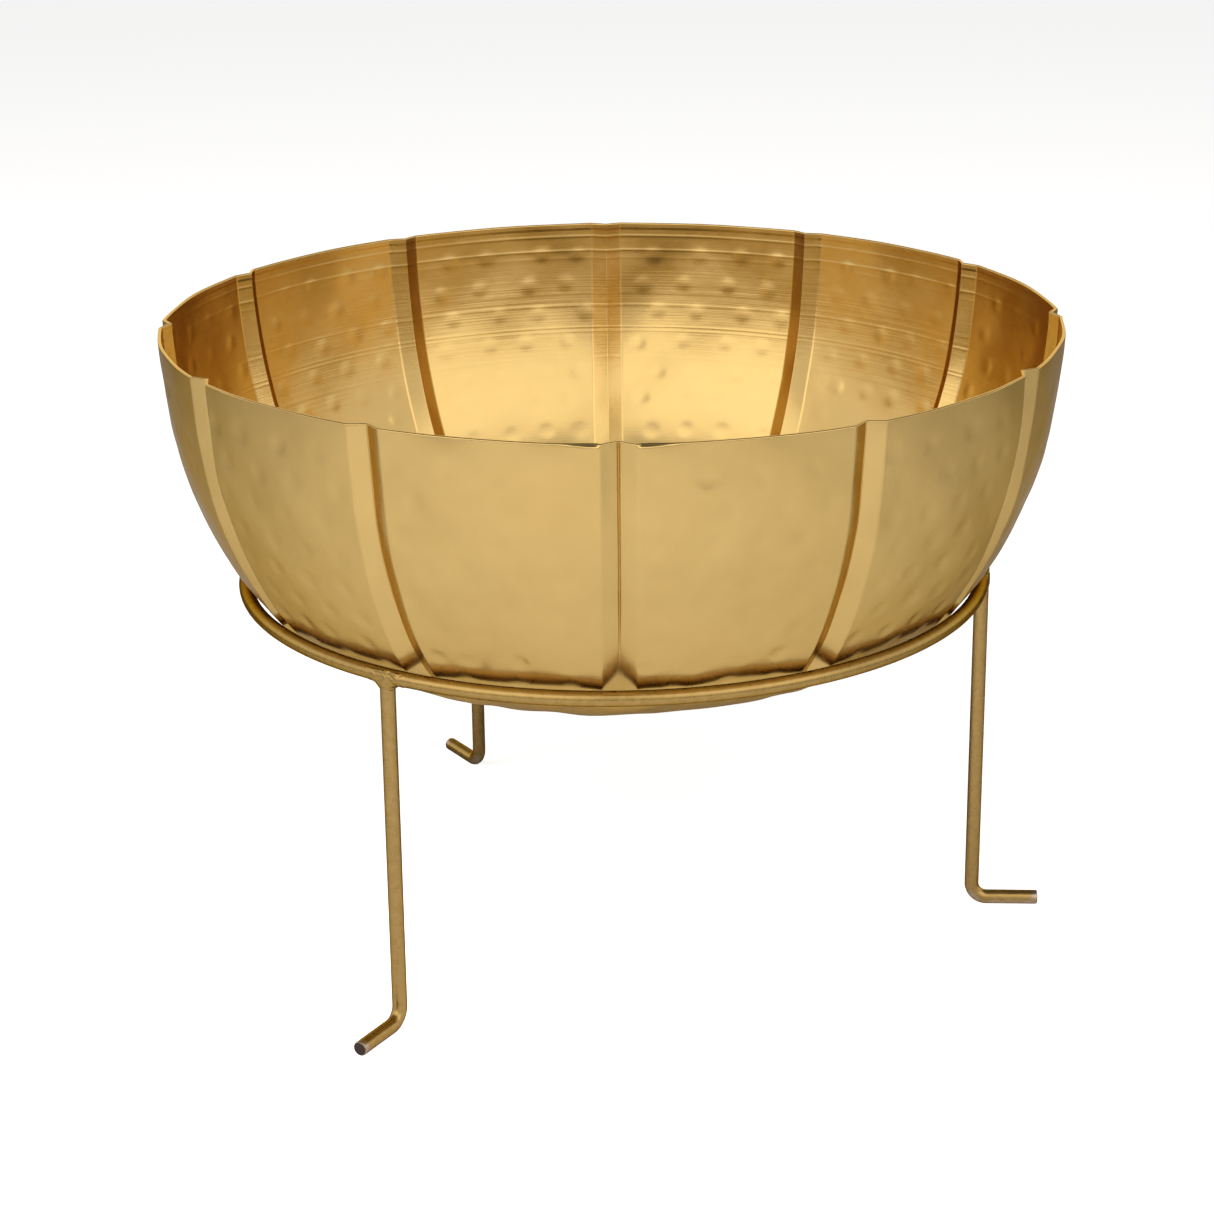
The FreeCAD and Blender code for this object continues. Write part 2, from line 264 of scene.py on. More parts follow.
def add_piece(name, mesh, material, body, node):
    """A visible piece that rides on a body, fills a material slot and stands for one node of the CAD."""
    piece = bpy.data.objects.new(name, mesh)
    bpy.context.scene.collection.objects.link(piece)
    mesh.materials.append(material)
    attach(piece, body)
    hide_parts(node)


def give_values(mesh, name, values):
    """Stores one number per vertex, which a material reads by name."""
    attribute = mesh.attributes.new(name, "FLOAT", "POINT")
    attribute.data.foreach_set("value", values.astype(np.float32).ravel())


def give_vectors(mesh, name, values):
    """Stores one vector per vertex in the same way."""
    attribute = mesh.attributes.new(name, "FLOAT_VECTOR", "POINT")
    attribute.data.foreach_set("vector", values.astype(np.float32).ravel())


# ---------------------------------------------------------------- bowl


def smooth_step(values, low, high):
    """0 below low, 1 above high, and an eased rise between."""
    share = np.clip((values - low) / (high - low), 0.0, 1.0)
    return share * share * (3.0 - 2.0 * share)


def wall_arcs():
    """The wall's arcs as (centre radius, centre height, radius, start angle, end angle)."""
    upper_rise = ARC_CENTRE_HEIGHTS[0] - RIM_HEIGHT
    centres = [(RIM_RADIUS - math.sqrt(ARC_RADII[0] ** 2 - upper_rise**2), ARC_CENTRE_HEIGHTS[0])]
    joins = [-math.asin(upper_rise / ARC_RADII[0])]
    for reach, height in zip(-np.diff(ARC_RADII[:3]), ARC_CENTRE_HEIGHTS[1:]):
        drop = height - centres[-1][1]
        shift = math.sqrt(reach**2 - drop**2)
        joins.append(math.atan2(drop, shift))
        centres.append((centres[-1][0] + shift, height))
    shift = centres[-1][0] - BASE_RADIUS
    rise = math.sqrt((ARC_RADII[3] - ARC_RADII[2]) ** 2 - shift**2)
    joins.append(math.atan2(-rise, shift))
    centres.append((BASE_RADIUS, centres[-1][1] + rise))
    joins.append(-math.pi / 2)
    ends = zip(centres, ARC_RADII, joins[:-1], joins[1:])
    return [(*centre, radius, start, end) for centre, radius, start, end in ends]


ARCS = wall_arcs()
ARC_LENGTHS = [radius * (start - end) for _, _, radius, start, end in ARCS]
WALL_LENGTH = sum(ARC_LENGTHS) + BASE_RADIUS


def meridian(down):
    """Radius, height and outward normal (radial, upright) at distances down the wall from the rim."""
    radius = np.zeros_like(down)
    height = np.zeros_like(down)
    normal_r = np.zeros_like(down)
    normal_z = np.zeros_like(down)
    passed = 0.0
    for (centre_r, centre_z, arc_radius, start, _), length in zip(ARCS, ARC_LENGTHS):
        here = down >= passed
        angle = start - (down - passed) / arc_radius
        radius = np.where(here, centre_r + arc_radius * np.cos(angle), radius)
        height = np.where(here, centre_z + arc_radius * np.sin(angle), height)
        normal_r = np.where(here, np.cos(angle), normal_r)
        normal_z = np.where(here, np.sin(angle), normal_z)
        passed += length
    flat = down >= passed
    base_height = ARCS[-1][1] - ARCS[-1][2]
    radius = np.where(flat, BASE_RADIUS - (down - passed), radius)
    height = np.where(flat, base_height, height)
    normal_r = np.where(flat, 0.0, normal_r)
    normal_z = np.where(flat, -1.0, normal_z)
    return radius, height, normal_r, normal_z


def crease_half_angle(radius):
    """Half a crease's width in degrees: a fixed width, up to a widest angle."""
    return np.degrees(np.minimum(CREASE_HALF_WIDTH / np.maximum(radius, 1.0), math.radians(CREASE_WIDEST)))


def column_azimuths(radius):
    """Azimuths of the mesh's columns at each row: they follow each crease's bottom and edges."""
    half = crease_half_angle(radius)[:, None]
    steps = np.array(FACET_STEPS)[None, :]
    rising = half * steps
    panel = np.concatenate([[0.0, 0.006], np.linspace(0.018, 0.982, PANEL_CELLS), [0.994]])[None, :]
    across = half + (SECTOR - 2 * half) * panel
    falling = SECTOR - half + half * (1.0 - np.concatenate([steps[0, 1:], [1.0]])[::-1])[None, :]
    one = np.concatenate([rising, across, falling], axis=1)
    sectors = FRONT + SECTOR * np.arange(CREASES)
    return np.concatenate([one + start for start in sectors], axis=1)


def turn_between(azimuth, other):
    """The signed angle from other to azimuth, in degrees."""
    return (azimuth - other + 180.0) % 360.0 - 180.0


def crease_relief(azimuth, down, radius):
    """Each crease is two flat facets that meet in a sharp line, between slightly swollen edges.
    The panels between the creases are flattened where they hang over the ring."""
    offset = turn_between(azimuth * CREASES, FRONT * CREASES) / CREASES
    across = np.abs(offset) / crease_half_angle(radius)
    fade = 1.0 - smooth_step(down, *CREASE_FADE)
    front = np.exp(-((turn_between(azimuth, FRONT) / FRONT_SWELL_ANGLE) ** 2))
    swell = CREASE_SWELL + FRONT_SWELL * front * np.exp(-down / FRONT_SWELL_FADE)
    distance = np.maximum(np.abs(offset) - crease_half_angle(radius), 0.0) * np.radians(1.0) * radius
    edge = swell * np.exp(-distance / CREASE_SWELL_REACH)
    inside = np.clip(across, 0.0, 1.0)
    flattened = FLAT_DEPTH * np.exp(-(((down - FLAT_DOWN) / FLAT_HEIGHT) ** 2))
    flattened = flattened * (1.0 - np.exp(-distance / FLAT_EDGE))
    return fade * (edge * inside - CREASE_DEPTH * (1.0 - inside)) - flattened


def score_line(azimuth, down, radius):
    """The sharp line along the bottom of each crease, on the outer face."""
    offset = np.radians(turn_between(azimuth * CREASES, FRONT * CREASES) / CREASES) * radius
    return -SCORE_DEPTH * np.exp(-((offset / SCORE_WIDTH) ** 2)) * (1.0 - smooth_step(down, *SCORE_FADE))


def press_marks(azimuth, down, radius):
    """Shallow flat-bottomed dents beside the front crease."""
    across = np.radians(turn_between(azimuth, FRONT)) * radius
    relief = np.zeros_like(azimuth)
    for place, level, width, height, depth in PRESS_MARKS:
        shape = ((across - place) / width) ** 6 + ((down - level) / height) ** 6
        relief -= depth * np.exp(-np.minimum(shape, 50.0))
    return relief


def uneven(azimuth):
    """Azimuths as the creases really fall, a little out of step."""
    places = FRONT + SECTOR * np.arange(CREASES)
    return azimuth + np.interp(azimuth, places, CREASE_SHIFTS, period=360.0)


def waviness(azimuth, down):
    """The gentle unevenness of sheet formed by hand."""
    total = np.zeros_like(azimuth)
    for _ in range(WAVES):
        turns = rng.integers(*WAVE_TURNS)
        pitch = rng.uniform(*WAVE_PITCHES)
        lean, start = rng.uniform(0.0, 2 * math.pi, 2)
        total += np.cos(np.radians(azimuth) * turns + lean) * np.cos(2 * math.pi * down / pitch + start)
    return WAVE_HEIGHT * total


def hammer_marks():
    """The hammer marks' azimuths, distances down, depths and sizes: staggered rows, a little uneven."""
    marks = []
    panels = FRONT + SECTOR * np.arange(CREASES)
    for row, down in enumerate(np.arange(MARK_FIRST, WALL_LENGTH - MARK_LAST, MARK_PITCH)):
        radius, _, _, _ = meridian(np.array([down]))
        half = crease_half_angle(radius)[0]
        width = math.radians(SECTOR - 2 * half) * radius[0]
        fit = max(2, round(width / MARK_SPACING))
        lead = MARK_LEADS[row % 2]
        for start in panels:
            for k in range(fit):
                share = (k + lead + 0.1) / (fit + 0.1) + rng.normal(0.0, 0.018)
                azimuth = start + half + (SECTOR - 2 * half) * min(share, 0.97)
                depth = MARK_DEPTH * rng.uniform(0.65, 1.15)
                level = down + rng.normal(0.0, 0.5)
                marks.append((azimuth, level, depth, MARK_SIZE * rng.uniform(0.9, 1.15)))
    return marks


def mark_relief(azimuth, down, radius, marks, spread):
    """Blows struck from outside: hollows on the outer face, round bumps on the inner one."""
    relief = np.zeros_like(azimuth)
    for mark_azimuth, mark_down, depth, mark_size in marks:
        size = mark_size * spread
        rows_reached = [mark_down - MARK_REACH * size, mark_down + MARK_REACH * size]
        first, last = np.searchsorted(down[:, 0], rows_reached)
        if first == last:
            continue
        middle = (first + last) // 2
        reach = math.degrees(MARK_REACH * size / radius[middle, 0])
        columns = np.flatnonzero(np.abs(turn_between(azimuth[middle], mark_azimuth)) < reach)
        here = np.ix_(np.arange(first, last), columns)
        across = np.radians(turn_between(azimuth[here], mark_azimuth)) * radius[first:last]
        along = down[here] - mark_down
        relief[here] -= depth * np.exp(-(((across**2 + along**2) / size**2) ** 1.5))
    return relief


def turning_rings(down):
    """Fine rings left inside by spinning: a thick lip, then narrow ridges at their distances down."""
    relief = -LIP_THICKNESS * (1.0 - smooth_step(down, *LIP_END))
    for place, height, width in RING_RIDGES:
        relief = relief - height * np.exp(-(((down - place) / width) ** 2))
    return relief


def rim_shape(azimuth, down):
    """How far the top of the wall is rolled inwards and lowered round the rim."""
    beside = np.abs(np.radians(turn_between(azimuth, FRONT)) * RIM_RADIUS) - CREASE_HALF_WIDTH
    lip = np.exp(-((np.maximum(beside, 0.0) / ROLL_REACH) ** 2)) * smooth_step(beside, -0.6, 0.8)
    depth = ROLL_DEPTH * lip + 0.01
    roll = ROLL_LEAN * depth * np.clip(1.0 - down / depth, 0.0, 1.0) ** 1.3
    raised = sum(
        lift * np.exp(-((turn_between(azimuth, place) / spread) ** 2))
        for place, lift, spread in RIM_LIFTS
    )
    lowered = (RIM_DROP - raised) * (1.0 - smooth_step(down, 0.0, RIM_DROP_FADE))
    return roll, lowered


def wall_rows(inner):
    """Distances down the wall for the rows of one face, closer together at the lip and the ridges."""
    pitch = ROW_PITCH_INNER if inner else ROW_PITCH_OUTER
    upper = np.arange(0.3, ROWS_BELOW, pitch)
    below = np.arange(ROWS_BELOW, WALL_LENGTH - 1.0, ROW_PITCH_BELOW)
    lip = np.arange(LIP_ROW_PITCH, LIP_ROWS_END, LIP_ROW_PITCH)
    fine = [place + step * width for place, _, width in RING_RIDGES for step in RIDGE_ROWS]
    rows = np.sort(np.concatenate([upper, below, lip, fine if inner else []]))
    return rows[np.concatenate([[True], np.diff(rows) > CLOSEST_ROWS])]


def wall_face(down, inner, marks):
    """Rows of points from the rim down for one face of the sheet, and the vectors that its grain follows."""
    radius, height, normal_r, normal_z = (values[:, None] for values in meridian(down))
    azimuth = column_azimuths(radius[:, 0])
    down = down[:, None] + 0.0 * azimuth
    relief = crease_relief(azimuth, down, radius)
    relief = relief + waviness(azimuth, down) * (WAVE_INNER if inner else WAVE_OUTER)
    relief = relief - SET_BACK - SET_BACK_AT_RIM * np.exp(-down / SET_BACK_FADE)
    roll, lowered = rim_shape(azimuth, down)
    if inner:
        relief = relief - SHEET + mark_relief(azimuth, down, radius, marks, 1.0) + turning_rings(down)
    else:
        relief = relief + mark_relief(azimuth, down, radius, marks, OUTER_SPREAD) * OUTER_MARKS
        relief = relief + score_line(azimuth, down, radius) + press_marks(azimuth, down, radius)
    far = radius + normal_r * relief - roll
    turn = np.radians(uneven(azimuth))
    points = np.stack([far * np.cos(turn), far * np.sin(turn), height + normal_z * relief - lowered], axis=-1)
    spin = np.stack([np.cos(turn), np.sin(turn), down], axis=-1)
    return points, spin


def bowl_mesh():
    """The whole sheet as one closed skin: up the outer face, over the cut edge and down the inner one."""
    marks = hammer_marks()
    state = rng.bit_generator.state
    outer, outer_spin = wall_face(wall_rows(False), False, marks)
    rng.bit_generator.state = state  # both faces share one waviness
    inner, inner_spin = wall_face(wall_rows(True), True, marks)

    # the cut edge: two rows just inside the sheet's corners, a little above them
    rim_rows = []
    for share in CUT_EDGE:
        row = outer[0] * (1.0 - share) + inner[0] * share
        row[:, 2] = np.maximum(outer[0, :, 2], inner[0, :, 2]) + CUT_EDGE_RISE
        rim_rows.append(row)
    rim_spin = np.stack([outer_spin[0], outer_spin[0]])
    rows = np.concatenate([outer[::-1], np.stack(rim_rows), inner])
    spin = np.concatenate([outer_spin[::-1], rim_spin, inner_spin])
    floor_outer = outer[-1, :, 2].mean()
    floor_inner = inner[-1, :, 2].mean()
    mesh = grid_mesh("bowl", rows, (0, 0, floor_outer), (0, 0, floor_inner))
    middle = np.array([[0.0, 0.0, WALL_LENGTH], [0.0, 0.0, WALL_LENGTH]])
    give_vectors(mesh, "spin", np.concatenate([spin.reshape(-1, 3), middle]))
    inside = np.concatenate([np.zeros(len(outer) + 1), np.ones(len(inner) + 1)])
    inside = np.repeat(inside, rows.shape[1])
    give_values(mesh, "inside", np.concatenate([inside, [0.0, 1.0]]))
    return mesh


# ---------------------------------------------------------------- materials


class Nodes:
    """Short calls for building the node tree of one material or world."""

    def __init__(self, owner):
        owner.use_nodes = True
        self.owner = owner
        self.tree = owner.node_tree
        self.shader = self.tree.nodes.get("Principled BSDF")

    def add(self, kind, **settings):
        node = self.tree.nodes.new(kind)
        for key, value in settings.items():
            setattr(node, key, value)
        return node

    def link(self, output, socket):
        self.tree.links.new(output, socket)

    def put(self, value, socket):
        if isinstance(value, bpy.types.NodeSocket):
            self.link(value, socket)
        else:
            socket.default_value = value

    def noise(self, vector, scale, detail=3.0, rough=0.5):
        node = self.add("ShaderNodeTexNoise")
        self.link(vector, node.inputs["Vector"])
        node.inputs["Scale"].default_value = scale
        node.inputs["Detail"].default_value = detail
        node.inputs["Roughness"].default_value = rough
        return node.outputs["Fac"]

    def math(self, operation, first, second=0.0):
        node = self.add("ShaderNodeMath", operation=operation)
        self.put(first, node.inputs[0])
        self.put(second, node.inputs[1])
        return node.outputs[0]

    def remap(self, value, low, high, to_low=0.0, to_high=1.0):
        node = self.add("ShaderNodeMapRange")
        self.put(value, node.inputs["Value"])
        node.inputs["From Min"].default_value = low
        node.inputs["From Max"].default_value = high
        node.inputs["To Min"].default_value = to_low
        node.inputs["To Max"].default_value = to_high
        return node.outputs["Result"]

    def ramp(self, factor, low_colour, high_colour):
        node = self.add("ShaderNodeMix", data_type="RGBA")
        colours = [socket for socket in node.inputs if socket.type == "RGBA"]
        colours[0].default_value = (*low_colour, 1.0)
        colours[1].default_value = (*high_colour, 1.0)
        self.put(factor, node.inputs[0])
        return next(socket for socket in node.outputs if socket.type == "RGBA")

    def blend(self, factor, base, colour):
        result = self.ramp(factor, (0.0, 0.0, 0.0), colour)
        self.link(base, next(socket for socket in result.node.inputs if socket.type == "RGBA"))
        return result

    def scaled(self, vector, scale):
        node = self.add("ShaderNodeMapping")
        self.link(vector, node.inputs["Vector"])
        node.inputs["Scale"].default_value = scale
        return node.outputs["Vector"]

    def bump(self, height, distance, normal=None):
        node = self.add("ShaderNodeBump")
        self.link(height, node.inputs["Height"])
        node.inputs["Distance"].default_value = distance
        if normal:
            self.link(normal, node.inputs["Normal"])
        return node.outputs["Normal"]

    def attribute(self, name, output):
        return self.add("ShaderNodeAttribute", attribute_name=name).outputs[output]

    def object_place(self):
        return self.add("ShaderNodeTexCoord").outputs["Object"]


def brass():
    """Spun brass sheet: fine grain round the bowl, stronger where it was turned inside, faintly clouded."""
    nodes = Nodes(bpy.data.materials.new("brass_sheet"))
    shader = nodes.shader
    spin = nodes.attribute("spin", "Vector")
    inside = nodes.attribute("inside", "Fac")
    split = nodes.add("ShaderNodeSeparateXYZ")
    nodes.link(spin, split.inputs[0])
    down = split.outputs["Z"]

    grain = nodes.noise(nodes.scaled(spin, (2.0, 2.0, 1.6)), 1.0, 4.0, 0.65)
    turned = nodes.math(
        "MULTIPLY",
        nodes.remap(down, *TURNED_BEGINS),
        nodes.remap(down, *TURNED_ENDS),
    )
    added = nodes.math("MULTIPLY", nodes.math("MULTIPLY", turned, inside), TURNED_GRAIN)
    depth = nodes.math("ADD", BRASS_GRAIN, added)
    lines = nodes.bump(nodes.math("MULTIPLY", grain, depth), 0.00006)
    place = nodes.object_place()
    cloud = nodes.noise(place, 60.0, 3.0, 0.6)
    normal = nodes.bump(nodes.noise(place, 140.0, 2.0), 0.00005, lines)
    nodes.link(normal, shader.inputs["Normal"])

    tint = nodes.ramp(nodes.remap(cloud, 0.3, 0.7), *BRASS_TINTS)
    nodes.link(tint, shader.inputs["Base Color"])
    shader.inputs["Metallic"].default_value = 1.0
    nodes.link(nodes.remap(cloud, 0.25, 0.75, *BRASS_ROUGHNESS), shader.inputs["Roughness"])
    shader.inputs["Specular Tint"].default_value = BRASS_AT_GRAZE
    shader.inputs["Anisotropic"].default_value = 0.55
    shader.inputs["Anisotropic Rotation"].default_value = 0.25
    tangent = nodes.add("ShaderNodeTangent", direction_type="RADIAL", axis="Z")
    nodes.link(tangent.outputs[0], shader.inputs["Tangent"])
    return nodes.owner


def gold_paint():
    """Satin metallic gold paint on rod, scuffed to grey steel at the feet, with dark sawn ends."""
    nodes = Nodes(bpy.data.materials.new("gold_paint"))
    shader = nodes.shader
    place = nodes.object_place()
    mottle = nodes.noise(place, 420.0, 3.0)
    scuffed = nodes.math(
        "MULTIPLY",
        nodes.attribute("wear", "Fac"),
        nodes.remap(nodes.noise(place, 700.0, 4.0, 0.7), 0.40, 0.52),
    )
    paint = nodes.ramp(nodes.remap(mottle, 0.35, 0.65), *PAINT_TINTS)
    steel = nodes.blend(scuffed, paint, BARE_STEEL)
    sawn = nodes.blend(nodes.attribute("sawn", "Fac"), steel, SAWN_STEEL)
    nodes.link(sawn, shader.inputs["Base Color"])
    shader.inputs["Metallic"].default_value = 1.0
    shader.inputs["Specular Tint"].default_value = PAINT_AT_GRAZE
    nodes.link(nodes.remap(mottle, 0.3, 0.7, *PAINT_ROUGHNESS), shader.inputs["Roughness"])
    coarse = nodes.bump(nodes.noise(place, 420.0, 2.0), 0.00002)
    fine = nodes.bump(nodes.noise(place, 2600.0, 2.0), 0.000008, coarse)
    nodes.link(fine, shader.inputs["Normal"])
    return nodes.owner


# ---------------------------------------------------------------- stand


def sweep(path, sides_x, sides_y, radii):
    """Rows of points round a path, given two unit vectors across it at each point."""
    turn = np.linspace(0.0, 2 * math.pi, ROD_SIDES, endpoint=False)[None, :, None]
    around = sides_x[:, None, :] * np.cos(turn) + sides_y[:, None, :] * np.sin(turn)
    return path[:, None, :] + around * radii[:, None, None]


def ring_mesh():
    """The ring: the rod swept once round, with no seam."""
    turn = np.radians(np.arange(0.0, 360.0, RING_STEP))
    out = np.stack([np.cos(turn), np.sin(turn), 0 * turn], axis=-1)
    up = np.zeros_like(out)
    up[:, 2] = 1.0
    rows = sweep(out * RING_RADIUS + up * RING_HEIGHT, out, up, np.full(len(turn), ROD_RADIUS))
    count, width = rows.shape[:2]
    index = np.arange(count * width).reshape(count, width)
    after = np.roll(index, -1, axis=1)
    quads = np.stack([index, np.roll(index, -1, axis=0), np.roll(after, -1, axis=0), after], axis=-1)
    mesh = raw_mesh("stand_ring", rows.reshape(-1, 3), quads.reshape(-1), np.full(count * width, 4))
    give_values(mesh, "wear", np.zeros(count * width))
    give_values(mesh, "sawn", np.zeros(count * width))
    return mesh


def leg_axes(name):
    """Where a leg meets the ring, seen from above, and the direction its foot points in."""
    angle, foot_turn = LEGS[name]
    spot = Vector((math.cos(math.radians(angle)), math.sin(math.radians(angle)), 0.0)) * RING_RADIUS
    heading = math.radians(angle + foot_turn)
    return np.array(spot), np.array((math.cos(heading), math.sin(heading), 0.0))


def leg_mesh(name):
    """A rod from the ring down, round the bend and out to the sawn end of the foot."""
    spot, along = leg_axes(name)
    up = np.array((0.0, 0.0, 1.0))
    side = np.cross(up, along)
    floor = ROD_RADIUS + CLEAR_OF_FLOOR
    stations = [(0.0, z, 0.0) for z in np.linspace(RING_HEIGHT, floor + BEND_RADIUS, 60)]
    for bend in np.radians(np.linspace(0.0, 90.0, 19)[1:]):
        reach = BEND_RADIUS * (1.0 - math.cos(bend))
        stations.append((reach, floor + BEND_RADIUS * (1.0 - math.sin(bend)), bend))
    flat_end = FOOT_LENGTH - FOOT_ROUNDING
    stations += [(x, floor, math.pi / 2) for x in np.linspace(BEND_RADIUS, flat_end, 16)[1:]]
    radii = [ROD_RADIUS] * len(stations)
    for curl in np.radians((30.0, 60.0, 90.0)):
        stations.append((FOOT_LENGTH - FOOT_ROUNDING * (1.0 - math.sin(curl)), floor, math.pi / 2))
        radii.append(ROD_RADIUS - FOOT_ROUNDING * (1.0 - math.cos(curl)))
    stations.append((FOOT_LENGTH - 0.02, floor, math.pi / 2))
    radii.append(ROD_RADIUS * 0.72)
    reach, height, bend = (np.array(values)[:, None] for values in zip(*stations))
    path = spot + along * reach + up * height
    across = along * np.cos(bend) + up * np.sin(bend)
    rows = sweep(path, across, np.repeat(side[None], len(path), axis=0), np.array(radii))
    mesh = grid_mesh("leg_" + name, rows[:, ::-1], path[0], path[-1])
    low = smooth_step(path[:, None, 2] - rows[:, :, 2], -0.6, 1.2)[:, ::-1]
    tip = smooth_step(reach, FOOT_LENGTH - 3.0, FOOT_LENGTH - 0.6)
    knee = np.exp(-(((bend - math.pi / 4) / 0.6) ** 2)) * low
    foot = smooth_step(reach, 3.0, 8.0) * low
    wear = np.maximum(np.maximum(0.8 * tip, 0.8 * knee), 0.6 * foot)
    sawn = smooth_step(reach, FOOT_LENGTH - 0.12, FOOT_LENGTH - 0.04) + 0.0 * low
    give_values(mesh, "wear", np.concatenate([wear.ravel(), [0.0, 0.0]]))
    give_values(mesh, "sawn", np.concatenate([sawn.ravel(), [0.0, 1.0]]))
    return mesh


def weld_mesh(name):
    """Weld metal laid on the ring over the leg: a fillet down the leg, a ragged ridge along the top."""
    angle = LEGS[name][0]
    along = np.linspace(*WELD_REACH, 72)[:, None]
    wrap = np.radians(np.linspace(*WELD_WRAP, 84))[None, :]
    turn = math.radians(angle) + along / RING_RADIUS
    edge = np.clip(1.0 - ((along - 0.5) / WELD_HALF_LENGTH) ** 2, 0.0, 1.0) ** 0.5
    span = (wrap - wrap.min()) / (wrap.max() - wrap.min())
    sides = np.clip(1.0 - (2 * span - 1.0) ** 6, 0.0, 1.0) ** 0.5
    rough = ragged(along, wrap)
    ridge = np.exp(-(((np.degrees(wrap) - RIDGE_WRAP - 5.0 * rough) / 9.0) ** 2))
    ridge = ridge * np.exp(-(((along - 0.6) / 4.0) ** 2))
    height = edge * sides * (0.28 + 0.10 * rough) + ridge * (0.75 + 0.5 * rough) - 0.06
    far = RING_RADIUS + (ROD_RADIUS + height) * np.cos(wrap)
    level = RING_HEIGHT + (ROD_RADIUS + height) * np.sin(wrap)
    across = far - RING_RADIUS
    apart = np.sqrt(along**2 + across**2)
    fillet = np.clip(1.0 - (apart - ROD_RADIUS) / WELD_SPREAD, 0.0, 1.0) ** 2.4
    below = 1.0 - smooth_step(np.degrees(wrap), -25.0, 15.0)
    level = level - WELD_DROP * fillet * below
    outward = 0.22 * fillet * below * edge
    far = far + outward * np.sign(across)
    points = np.stack([far * np.cos(turn), far * np.sin(turn), level + 0.0 * far], axis=-1)
    return closed_patch("weld_" + name, points)


def ragged(along, wrap):
    """A rough field over a bead, about -1 to 1, drawn afresh for each one."""
    total = np.zeros(np.broadcast(along, wrap).shape)
    for _ in range(10):
        wide, deep = rng.uniform(0.8, 3.4), rng.uniform(2.0, 9.0)
        first, second = rng.uniform(0.0, 2 * math.pi, 2)
        total += np.cos(along * wide + first) * np.cos(wrap * deep + second)
    return total / 3.2


def closed_patch(name, points):
    """The patch as a thin closed skin: its back lies inside the rod."""
    centre = np.stack([0 * points[..., 0], 0 * points[..., 1], 0 * points[..., 2] + RING_HEIGHT], axis=-1)
    plan = points.copy()
    plan[..., 2] = 0.0
    spine = plan / np.linalg.norm(plan, axis=-1, keepdims=True) * RING_RADIUS + centre
    back = spine + (points - spine) * WELD_BACK
    loop = np.concatenate([back, points[:, ::-1]], axis=1)
    start, end = loop[0].mean(axis=0), loop[-1].mean(axis=0)
    mesh = grid_mesh(name, loop, start, end)
    give_values(mesh, "wear", np.zeros(len(mesh.vertices)))
    give_values(mesh, "sawn", np.zeros(len(mesh.vertices)))
    return mesh


# ---------------------------------------------------------------- studio


def add_floor():
    """A pale matt floor, which the camera sees lifted to near white."""
    size = FLOOR_HALF_SIZE
    mesh = bpy.data.meshes.new("floor")
    corners = [(-size, -size, 0), (size, -size, 0), (size, size, 0), (-size, size, 0)]
    mesh.from_pydata(corners, [], [(0, 1, 2, 3)])
    floor = bpy.data.objects.new("floor", mesh)
    bpy.context.scene.collection.objects.link(floor)
    nodes = Nodes(bpy.data.materials.new("pale_floor"))
    shader = nodes.shader
    shader.inputs["Base Color"].default_value = (FLOOR_WHITE, FLOOR_WHITE, FLOOR_WHITE, 1.0)
    shader.inputs["Roughness"].default_value = 0.9
    shader.inputs["Specular IOR Level"].default_value = 0.0
    shader.inputs["Emission Color"].default_value = (1.0, 1.0, 1.0, 1.0)
    lift = nodes.add("ShaderNodeLightPath").outputs["Is Camera Ray"]
    nodes.link(nodes.math("MULTIPLY", lift, FLOOR_LIFT), shader.inputs["Emission Strength"])
    mesh.materials.append(nodes.owner)


def add_softbox(name, azimuth, elevation, distance, width, height, radiance, seen=True):
    """A soft light facing the bowl. Azimuth 0 is on the camera's side, and positive is to its right.
    A light that isn't seen by the metal lights the floor alone."""
    target = Vector(LAMP_TARGET)
    turn, lift = math.radians(azimuth), math.radians(elevation)
    away = Vector((math.sin(turn) * math.cos(lift), -math.cos(turn) * math.cos(lift), math.sin(lift)))
    light = bpy.data.lights.new(name, "AREA")
    light.shape = "RECTANGLE"
    light.size = width
    light.size_y = height
    light.energy = radiance * math.pi * width * height
    light.color = WARM_WHITE
    lamp = bpy.data.objects.new(name, light)
    bpy.context.scene.collection.objects.link(lamp)
    lamp.location = target + away * distance
    lamp.rotation_euler = away.to_track_quat("Z", "Y").to_euler()
    lamp.visible_camera = False
    lamp.visible_glossy = seen


def add_world():
    """A pale room with a dim ceiling, which lowers towards the back. Lamps alone light the floor."""
    world = bpy.data.worlds.new("studio")
    bpy.context.scene.world = world
    nodes = Nodes(world)
    split = nodes.add("ShaderNodeSeparateXYZ")
    nodes.link(nodes.add("ShaderNodeTexCoord").outputs["Generated"], split.inputs[0])
    across, back, up = (split.outputs[axis] for axis in "XYZ")
    raised = nodes.math("ADD", up, nodes.math("MULTIPLY", back, CEILING_SLOPE))
    ceiling = nodes.remap(raised, *CEILING_BAND, 1.0, CEILING_STRENGTH)
    rear_left = nodes.math("SUBTRACT", back, nodes.math("MULTIPLY", across, WALL_SKEW))
    wall = nodes.remap(rear_left, -1.0, 1.0, *WALL_STRENGTHS)
    strength = nodes.math("MULTIPLY", ceiling, wall)
    nodes.link(strength, nodes.tree.nodes["Background"].inputs["Strength"])
    nodes.tree.nodes["Background"].inputs["Color"].default_value = (*WARM_WHITE, 1.0)
    world.cycles_visibility.diffuse = False


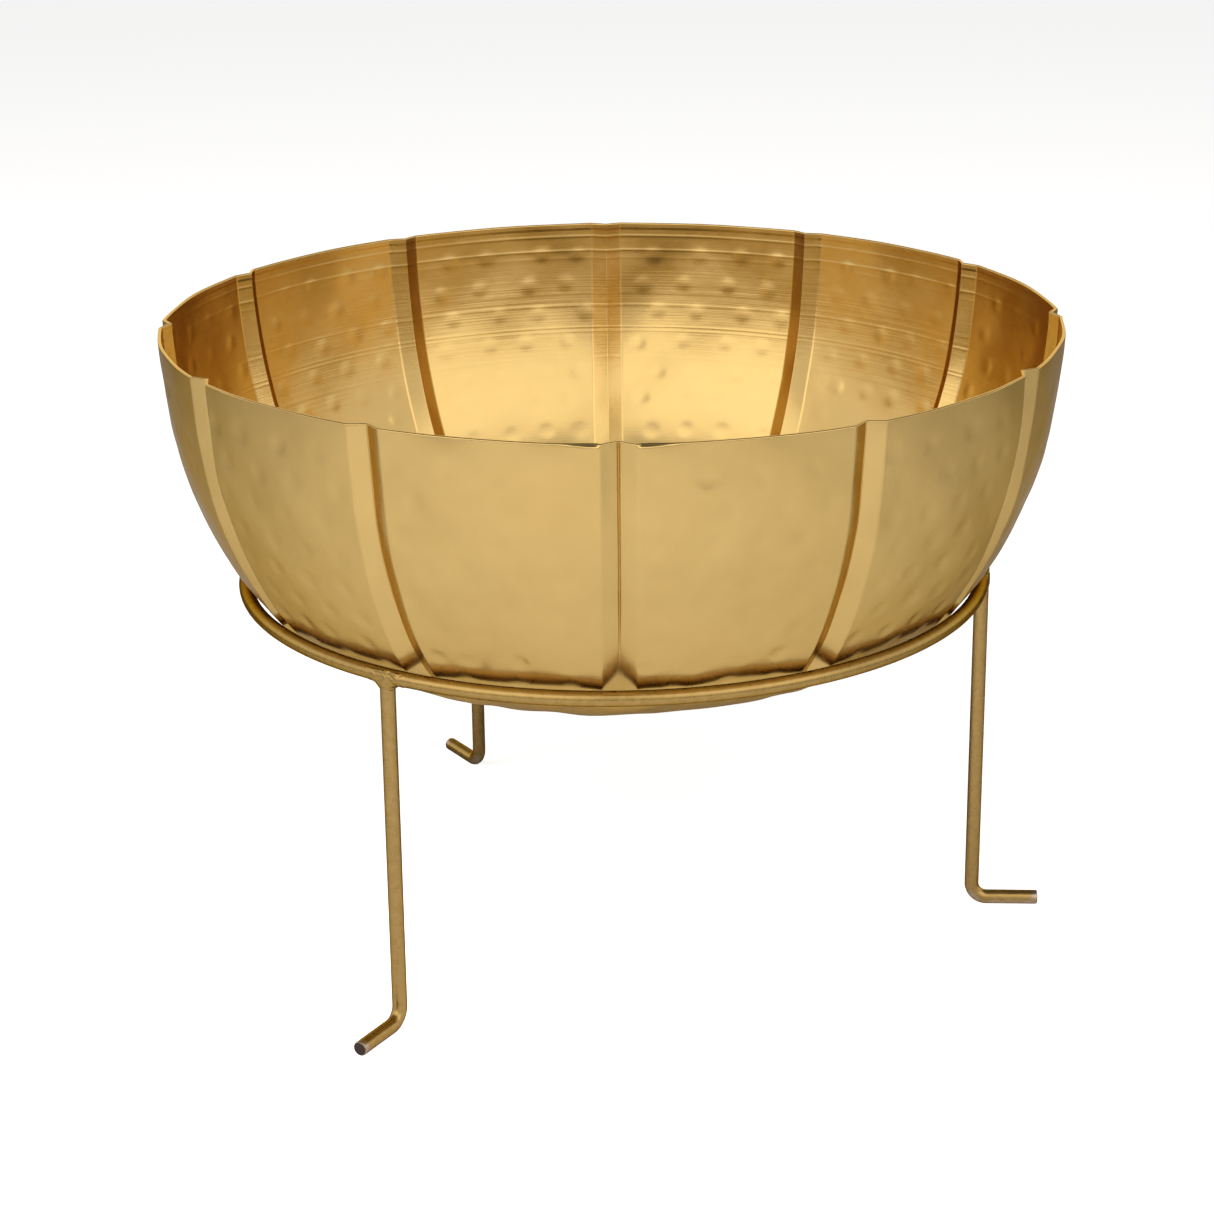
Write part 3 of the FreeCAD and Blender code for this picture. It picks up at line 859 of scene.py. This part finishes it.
def add_camera():
    """The photograph's view: from the front, a little above the rim, with a slight turn and tilt."""
    turn, lift, tilt = (math.radians(angle) for angle in (VIEW_TURN, VIEW_LIFT, VIEW_TILT))
    forward = Vector((0.0, math.cos(lift), -math.sin(lift)))
    right = Vector((1.0, 0.0, 0.0))
    up = right.cross(forward)
    camera_right = right * math.cos(tilt) + up * math.sin(tilt)
    camera_up = up * math.cos(tilt) - right * math.sin(tilt)
    place = Vector(VIEW_TARGET) - forward * VIEW_DISTANCE
    axes = Matrix((camera_right, camera_up, -forward)).transposed()
    data = bpy.data.cameras.new("camera")
    data.sensor_width = FILM_WIDTH
    data.lens = FOCAL_LENGTH
    camera = bpy.data.objects.new("camera", data)
    bpy.context.scene.collection.objects.link(camera)
    about_axis = Matrix.Rotation(turn, 4, "Z")
    camera.matrix_world = about_axis @ Matrix.Translation(place * MM) @ axes.to_4x4()
    bpy.context.scene.camera = camera


# ---------------------------------------------------------------- build

brass_material = brass()
paint = gold_paint()

add_piece("brass_bowl", bowl_mesh(), brass_material, "bowl", "bowl")
add_piece("ring_rod", ring_mesh(), paint, "stand", "stand_ring")
for leg in LEGS:
    add_piece("rod_" + leg, leg_mesh(leg), paint, "stand", "leg_" + leg)
    add_piece("bead_" + leg, weld_mesh(leg), paint, "stand", "weld_" + leg)

add_floor()
add_world()
# two boxes that the metal reflects, and three that light the floor alone; the left ones are brighter
for side in (-1, 1):
    add_softbox(
        f"softbox_{side + 1}",
        azimuth=38.0 * side,
        elevation=33.5,
        distance=1.3,
        width=1.3,
        height=1.0,
        radiance=0.9 - 0.05 * side,
    )
    add_softbox(
        f"floor_light_{side + 1}",
        azimuth=48.0 * side,
        elevation=40.0,
        distance=1.3,
        width=1.0,
        height=0.8,
        radiance=3.0 - 0.9 * side,
        seen=False,
    )
add_softbox(
    "floor_light_top",
    azimuth=0.0,
    elevation=42.0,
    distance=1.0,
    width=0.7,
    height=0.5,
    radiance=5.0,
    seen=False,
)
add_camera()
bpy.context.scene.view_settings.view_transform = "Standard"
